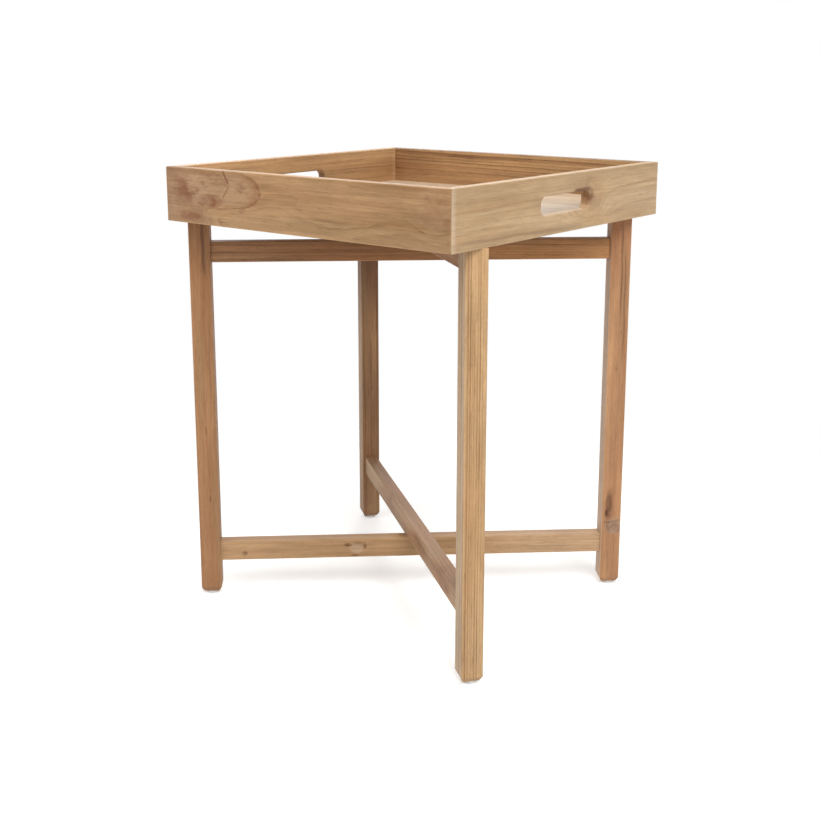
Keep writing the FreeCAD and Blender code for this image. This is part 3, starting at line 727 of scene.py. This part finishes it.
def screw_mesh():
    """One countersunk screw, head down, its recess cut into the head."""
    shape = bmesh.new()

    def ring(corners, height):
        return [shape.verts.new((x * MM, y * MM, height * MM)) for x, y in corners]

    def wall(lower, upper):
        for here in range(len(lower)):
            shape.faces.new((lower[here - 1], lower[here], upper[here], upper[here - 1]))

    angles = [2 * math.pi * side / SCREW_SIDES for side in range(SCREW_SIDES)]
    rings = [ring([(radius * math.cos(angle), radius * math.sin(angle)) for angle in angles], height)
             for radius, height in SCREW_OUTLINE]
    for lower, upper in zip(rings, rings[1:]):
        wall(lower, upper)
    shape.faces.new(rings[-1])
    mouth = ring(cross_corners(RECESS_REACH[0], RECESS_HALF_WIDTH[0]), 0)
    bottom = ring(cross_corners(RECESS_REACH[1], RECESS_HALF_WIDTH[1]), RECESS_DEPTH)
    wall(mouth, bottom)
    shape.faces.new(bottom)
    rim = [edge for edge in shape.edges if edge.is_boundary]
    bmesh.ops.triangle_fill(shape, edges=rim, use_beauty=True)
    bmesh.ops.recalc_face_normals(shape, faces=shape.faces)
    mesh = bpy.data.meshes.new("floor_screw")
    shape.to_mesh(mesh)
    shape.free()
    return mesh


def screw_row_tree():
    """A row of screws, each turned by chance."""
    tree = bpy.data.node_groups.new("screw_row", "GeometryNodeTree")
    add_sockets(tree, "INPUT", {"Screw": "Object", "Count": "Int", "First": "Vector", "Step": "Vector",
                                "Seed": "Int", "Metal": "Material"})
    add_sockets(tree, "OUTPUT", {"Row": "Geometry"})
    nodes = Nodes(tree)
    given = nodes.add("NodeGroupInput").outputs
    points = nodes.add("GeometryNodeMeshLine", {"Count": given["Count"], "Start Location": given["First"],
                                                "Offset": given["Step"]}).outputs[0]
    screw = nodes.add("GeometryNodeObjectInfo", {"Object": given["Screw"]}).outputs["Geometry"]
    turn = nodes.add("FunctionNodeRandomValue", {0: (0, 0, 0), 1: MOST_TURN, "Seed": given["Seed"]},
                     data_type="FLOAT_VECTOR").outputs[0]
    row = nodes.add("GeometryNodeInstanceOnPoints",
                    {"Points": points, "Instance": screw, "Rotation": turn}).outputs[0]
    solid = nodes.add("GeometryNodeRealizeInstances", {0: row}).outputs[0]
    plated = nodes.add("GeometryNodeSetMaterial", {"Geometry": solid, "Material": given["Metal"]}).outputs[0]
    nodes.add("NodeGroupOutput", {"Row": plated})
    return tree


def screw_rows():
    """The rows of screws that hold the floor boards, in place of the plain ones."""
    tree = screw_row_tree()
    screw = bpy.data.objects.new("floor_screw", screw_mesh())
    for seed, support in enumerate(("left_cleat", "batten", "right_cleat")):
        node = f"tray_{support}_screws"
        low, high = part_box(node)
        head = SCREW_OUTLINE[1][0] * MM
        first = Vector(((low.x + high.x) / 2, low.y + head, low.z))
        step = ALONG_Y * (high.y - low.y - 2 * head) / (SCREW_COUNT - 1)
        values = {"Screw": screw, "Count": SCREW_COUNT, "First": first, "Step": step, "Seed": seed,
                  "Metal": ZINC}
        maker = bpy.data.objects.new("screw_row_maker", bpy.data.meshes.new("screw_row_maker"))
        bpy.context.scene.collection.objects.link(maker)
        modifier = maker.modifiers.new("screw_row", "NODES")
        modifier.node_group = tree
        for item in tree.interface.items_tree:
            if item.in_out == "INPUT":
                modifier[item.identifier] = values[item.name]
        made = maker.evaluated_get(bpy.context.evaluated_depsgraph_get())
        row = bpy.data.objects.new(f"{support}_screw_row", bpy.data.meshes.new_from_object(made))
        bpy.data.objects.remove(maker)
        bpy.context.scene.collection.objects.link(row)
        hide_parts(node)
        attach(row, "tray")
    bpy.data.objects.remove(screw)


screw_rows()

# Studio: a pale floor just under the feet, seen near the table and faded into white further out, a soft white
# room and four large soft lamps. Places are in metres and powers in watts
FLOOR_HALF = 6.0
FLOOR_CLEARANCE = 0.3 * MM
FLOOR_SEEN = 0.45
FLOOR_FADED = 1.1
FLOOR_COLOUR = srgb(240, 240, 239)
FLOOR_LIFT = 0.4
ROOM_LIGHT = 0.24
# Where each lamp stands, the height over the middle of the floor that it points at, and its power
Lamp = namedtuple("Lamp", "place aim_height power")
LAMP_WIDTH = 1.8
LAMPS = {"right_softbox": Lamp((2.0, -1.1, 2.7), 0.4, 80),
         "left_softbox": Lamp((-0.9, -2.4, 2.4), 0.35, 34),
         "overhead_softbox": Lamp((0.2, -0.2, 3.2), 0.6, 20),
         "back_softbox": Lamp((-1.9, 2.1, 2.0), 0.35, 34)}


def straight_ray(nodes, light):
    """1 for a ray that shows a surface, also in a gloss or through glass, and 0 for one that lights it."""
    seen = nodes.math("MAXIMUM", light["Is Camera Ray"], light["Is Glossy Ray"])
    return nodes.math("MAXIMUM", seen, light["Is Transmission Ray"])


def studio_floor():
    """A pale floor that looks white where no shadow lies, and that can be looked through from below."""
    mesh = bpy.data.meshes.new("studio_floor")
    corners = [(-FLOOR_HALF, -FLOOR_HALF, 0), (FLOOR_HALF, -FLOOR_HALF, 0), (FLOOR_HALF, FLOOR_HALF, 0),
               (-FLOOR_HALF, FLOOR_HALF, 0)]
    mesh.from_pydata(corners, [], [(0, 1, 2, 3)])
    floor = bpy.data.objects.new("studio_floor", mesh)
    floor.location.z = -FLOOR_CLEARANCE
    bpy.context.scene.collection.objects.link(floor)
    material = bpy.data.materials.new("studio_floor")
    material.use_nodes = True
    material.node_tree.nodes.clear()
    nodes = Nodes(material.node_tree)
    light = nodes.add("ShaderNodeLightPath").outputs
    straight = straight_ray(nodes, light)
    matt = nodes.add("ShaderNodeBsdfDiffuse", {"Color": FLOOR_COLOUR}).outputs[0]
    strength = nodes.math("MULTIPLY", straight, FLOOR_LIFT)
    lift = nodes.add("ShaderNodeEmission", {"Strength": strength}).outputs[0]
    seen = nodes.add("ShaderNodeAddShader", {0: matt, 1: lift}).outputs[0]
    clear = nodes.add("ShaderNodeBsdfTransparent").outputs[0]
    spot = nodes.add("ShaderNodeTexCoord").outputs["Object"]
    far = nodes.ease(nodes.vector("LENGTH", spot), FLOOR_SEEN, FLOOR_FADED)
    far = nodes.math("MULTIPLY", far, straight)
    below = nodes.add("ShaderNodeNewGeometry").outputs["Backfacing"]
    # A ray from the underside of a glide to the floor is very short. It goes through, so that the glides
    # aren't black when they are looked at from below
    touching = nodes.math("LESS_THAN", light["Ray Length"], 2 * FLOOR_CLEARANCE)
    gone = nodes.math("MAXIMUM", nodes.math("MAXIMUM", below, far), touching)
    both = nodes.add("ShaderNodeMixShader", {0: gone, 1: seen, 2: clear}).outputs[0]
    nodes.add("ShaderNodeOutputMaterial", {"Surface": both})
    mesh.materials.append(material)


def studio_room():
    """White behind the table, and even soft light all round it."""
    world = bpy.data.worlds.new("studio_room")
    bpy.context.scene.world = world
    world.use_nodes = True
    nodes = Nodes(world.node_tree)
    light = nodes.add("ShaderNodeLightPath").outputs
    level = nodes.math("MULTIPLY_ADD", straight_ray(nodes, light), 1 - ROOM_LIGHT, ROOM_LIGHT)
    back = world.node_tree.nodes["Background"]
    back.inputs["Color"].default_value = (1, 1, 1, 1)
    nodes.put(back.inputs["Strength"], level)


def soft_lamp(name, lamp):
    """A large square lamp that points at the table."""
    light = bpy.data.lights.new(name, "AREA")
    light.shape = "SQUARE"
    light.size = LAMP_WIDTH
    light.energy = lamp.power
    stand = bpy.data.objects.new(name, light)
    stand.location = lamp.place
    aim = ALONG_Z * lamp.aim_height - Vector(lamp.place)
    stand.rotation_euler = aim.to_track_quat("-Z", "Y").to_euler()
    bpy.context.scene.collection.objects.link(stand)


studio_floor()
studio_room()
for name, lamp in LAMPS.items():
    soft_lamp(name, lamp)

# Camera: where the photographer stood, in metres, with the frame moved down over the legs
CAMERA_TURN = math.radians(38.8)
CAMERA_DISTANCE = 1.7516
CAMERA_HEIGHT = 0.7912
CAMERA_TILT = math.radians(12.35)
CAMERA_ASIDE = -0.0025
CAMERA_NEAREST = 0.05
SENSOR_WIDTH_MM = 36
PICTURE_WIDTH = 820
FOCAL_PIXELS = 1214.5
FRAME_DROP_PIXELS = 82


def place_camera():
    """Stand the camera in front of the table, to the right, a little above the tray."""
    lens = bpy.data.cameras.new("camera")
    lens.sensor_width = SENSOR_WIDTH_MM
    lens.lens = FOCAL_PIXELS / PICTURE_WIDTH * SENSOR_WIDTH_MM
    lens.shift_y = -FRAME_DROP_PIXELS / PICTURE_WIDTH
    lens.clip_start = CAMERA_NEAREST
    camera = bpy.data.objects.new("camera", lens)
    out = Vector((math.sin(CAMERA_TURN), -math.cos(CAMERA_TURN), 0))
    right = Vector((math.cos(CAMERA_TURN), math.sin(CAMERA_TURN), 0))
    camera.location = out * CAMERA_DISTANCE + ALONG_Z * CAMERA_HEIGHT
    aim = right * CAMERA_ASIDE + ALONG_Z * (CAMERA_HEIGHT - CAMERA_DISTANCE * math.tan(CAMERA_TILT))
    camera.rotation_euler = (aim - camera.location).to_track_quat("-Z", "Y").to_euler()
    bpy.context.scene.collection.objects.link(camera)
    bpy.context.scene.camera = camera


place_camera()
bpy.context.scene.view_settings.view_transform = "Standard"
